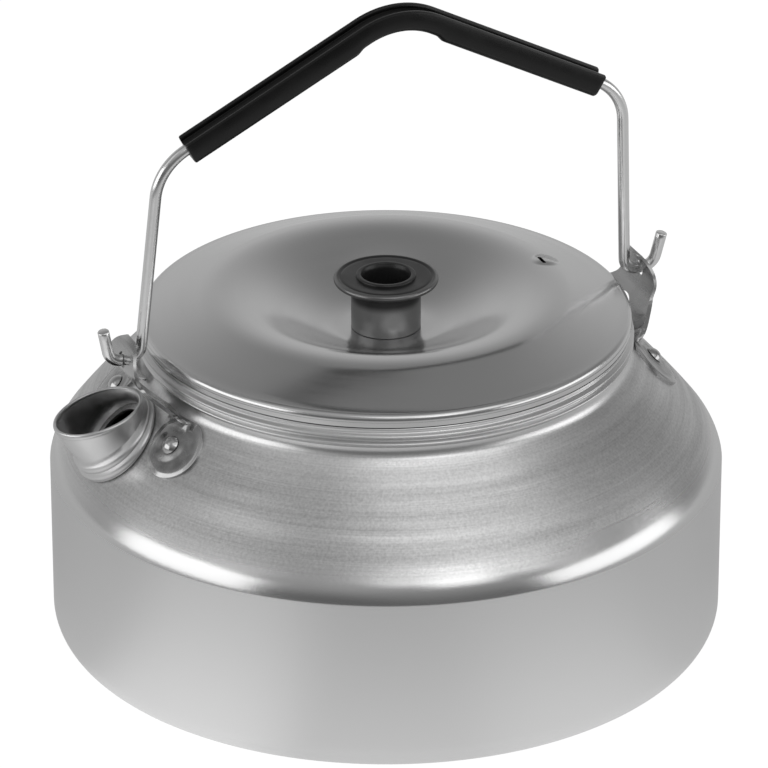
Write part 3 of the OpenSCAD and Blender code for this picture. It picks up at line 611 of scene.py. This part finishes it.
def bent_line(corners, straight_step, bend_step):
    """Points along a bent wire: straights between corners, and an arc of each corner's radius tangent to both.
    Gives the points and, for each, the unit direction of the wire."""
    points = [np.array(c[:2], float) for c in corners]
    line, way = [], []
    start = points[0]
    for i in range(1, len(points)):
        d_in = (points[i] - points[i - 1]) / np.linalg.norm(points[i] - points[i - 1])
        last = i == len(points) - 1
        d_out = d_in if last else (points[i + 1] - points[i]) / np.linalg.norm(points[i + 1] - points[i])
        turn = math.atan2(d_in[0] * d_out[1] - d_in[1] * d_out[0], d_in @ d_out)
        r = corners[i][2]
        cut = abs(r * math.tan(turn / 2))
        end = points[i] - cut * d_in
        n = max(2, int(np.linalg.norm(end - start) / straight_step))
        t = np.linspace(0, 1, n, endpoint=last)[:, None]
        line.append(start + t * (end - start))
        way.append(np.repeat(d_in[None], n, 0))
        if not last:
            side = math.copysign(1, turn)
            normal = side * np.array([-d_in[1], d_in[0]])
            k = max(3, int(abs(turn) * r / bend_step))
            b = np.linspace(0, abs(turn), k, endpoint=False)[:, None]
            line.append(end + r * normal + r * (np.sin(b) * d_in - np.cos(b) * normal))
            way.append(np.cos(b) * d_in + np.sin(b) * normal)
            start = points[i] + cut * d_out
    return np.concatenate(line), np.concatenate(way)


def in_bail(points):
    """Moves points from the bail's frame (across, up, off its face) to the kettle's: a lean about the hinge."""
    x, y, z = np.moveaxis(np.asarray(points, float), -1, 0)
    c, s = math.cos(BAIL_LEAN), math.sin(BAIL_LEAN)
    return np.stack([x, -y * s - z * c, HINGE_Z + y * c - z * s], -1)


line, way = bent_line(corners, 1.5, 0.5)
w = 2 * math.pi * np.arange(40) / 40
side = np.stack([-way[:, 1], way[:, 0]], 1)
# Each end is rounded over by four rings: their place along the wire past its first point, and their radius.
tip_along = np.array([[0], [0], [0.08], [0.25]])
tip_r = np.array([0, WIRE_R - 0.3, WIRE_R - 0.12, WIRE_R])
middle = np.concatenate([line[0] + tip_along * way[0], line[1:-1], line[-1] - tip_along[::-1] * way[-1]])
side = np.concatenate([side[[0, 0, 0]], side, side[[-1, -1, -1]]])
radius = np.concatenate([tip_r, np.full(len(line) - 2, WIRE_R), tip_r[::-1]])[:, None]
sideways, off_face = radius * np.cos(w), radius * np.sin(w)
wire_grid = np.concatenate([middle[:, None] + sideways[..., None] * side[:, None], off_face[..., None]], 2)
wire = surface("bent_wire", in_bail(wire_grid), False, True)
wire_finish = Finish("drawn_stainless_wire", 0.85, 0.30)
wire_finish.rough(wire_finish.ramp(wire_finish.speckle(300), 0.3, 0.7, 0.17, 0.27))
wire_finish.bump(wire_finish.speckle(900), 0.00004, 0.3)
wire_finish.cover(wire)
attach(wire, "bail")
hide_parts("bail_wire")

# Grip.
# A moulding of black plastic pressed over the wire's gable. It is open along its top, where two thin walls stand
# beside a groove, and its arms are a little deeper than its bend.
GRIP_W, GRIP_END, WALL_UP, FLOOR_UP, GROOVE_HALF, ROUND_R = 6.2, 56.6, 2.9, 1.62, 1.7, 1.6


def grip_section(depth):
    """Outlines of the grip across the wire, one for each depth: [outward, sideways] from the groove's floor."""
    h, top, g, r = GRIP_W / 2, WALL_UP, GROOVE_HALF, ROUND_R
    wall = np.array([[FLOOR_UP, 0.3 - g], [1.75, 0.05 - g], [2.1, -g], [top - 0.3, -g - 0.05], [top - 0.05, -g - 0.25],
                     [top, -g - 0.6], [top, 0.6 - h], [top - 0.12, 0.2 - h], [top - 0.45, -h]])
    low = np.concatenate([arc((r, r - h), r, 270, 180, 8), arc((r, h - r), r, 180, 90, 8)])
    section = np.concatenate([[[FLOOR_UP, 0]], wall, low, (wall * [1, -1])[::-1]])
    sunk = np.zeros(len(section))
    sunk[1 + len(wall):1 + len(wall) + len(low)] = 1
    return section - np.multiply.outer(depth, np.stack([sunk, 0 * sunk], 1))


# The grip follows the wire's top corner and the straights beside it.
gable = [c for c in corners if c[1] > 50]
line, way = bent_line([(gable[0][0], gable[0][1], 0), gable[1], (gable[2][0], gable[2][1], 0)], 0.8, 0.4)
keep = np.abs(line[:, 0]) < GRIP_END
line, way = line[keep], way[keep]
outward = np.stack([-way[:, 1], way[:, 0]], 1)
outward *= np.sign(outward[:, 1:])
# From 11 mm out the moulding grows deeper by 0.8 mm, as a smooth step 3t2 - 2t3.
arm = np.clip((np.abs(line[:, 0]) - 11.0) / 2.4, 0, 1)
section = grip_section(2.8 + 0.8 * arm * arm * (3 - 2 * arm))
grip_grid = np.concatenate([line[:, None] + section[..., :1] * outward[:, None], section[..., 1:]], 2)


def end_cap(row, direction):
    """Closes an end: the row pulled in twice for a rounded edge, then drawn to its middle."""
    middle = row.mean(0)
    return [row + (middle - row) * k + direction * d for k, d in ((0.06, 0.32), (0.16, 0.4), (1.0, 0.4))]


first = end_cap(grip_grid[0], np.append(-way[0], 0))[::-1]
last = end_cap(grip_grid[-1], np.append(way[-1], 0))
grip = surface("moulded_grip", in_bail(np.concatenate([first, grip_grid, last])), False, True)
grip_finish = Finish("black_grip_plastic", 0.0045, 0.33, 0.0)
# The edge of the wall that faces the camera is painted paler as a painted highlight, seven eighths of the way round the
# section.
off_edge = grip_finish.math("ABSOLUTE", grip_finish.math("SUBTRACT", grip_finish.on_surface(0), 0.875))
painted_edge_highlight = grip_finish.math("MULTIPLY", grip_finish.ramp(off_edge, 0.005, 0.03, 1.0, 0.0),
                          grip_finish.ramp(grip_finish.speckle(90), 0.3, 0.6, 0.35, 1.0))
grip_finish.grey(grip_finish.math("MULTIPLY_ADD", painted_edge_highlight, 0.085, 0.0045))
grip_finish.shader.inputs["Specular IOR Level"].default_value = 0.42
grip_finish.bump(grip_finish.speckle(1300), 0.00003, 0.4)
grip_finish.rough(grip_finish.ramp(grip_finish.speckle(110), 0.3, 0.7, 0.24, 0.36))
grip_finish.cover(grip)
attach(grip, "bail")
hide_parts("bail_grip")
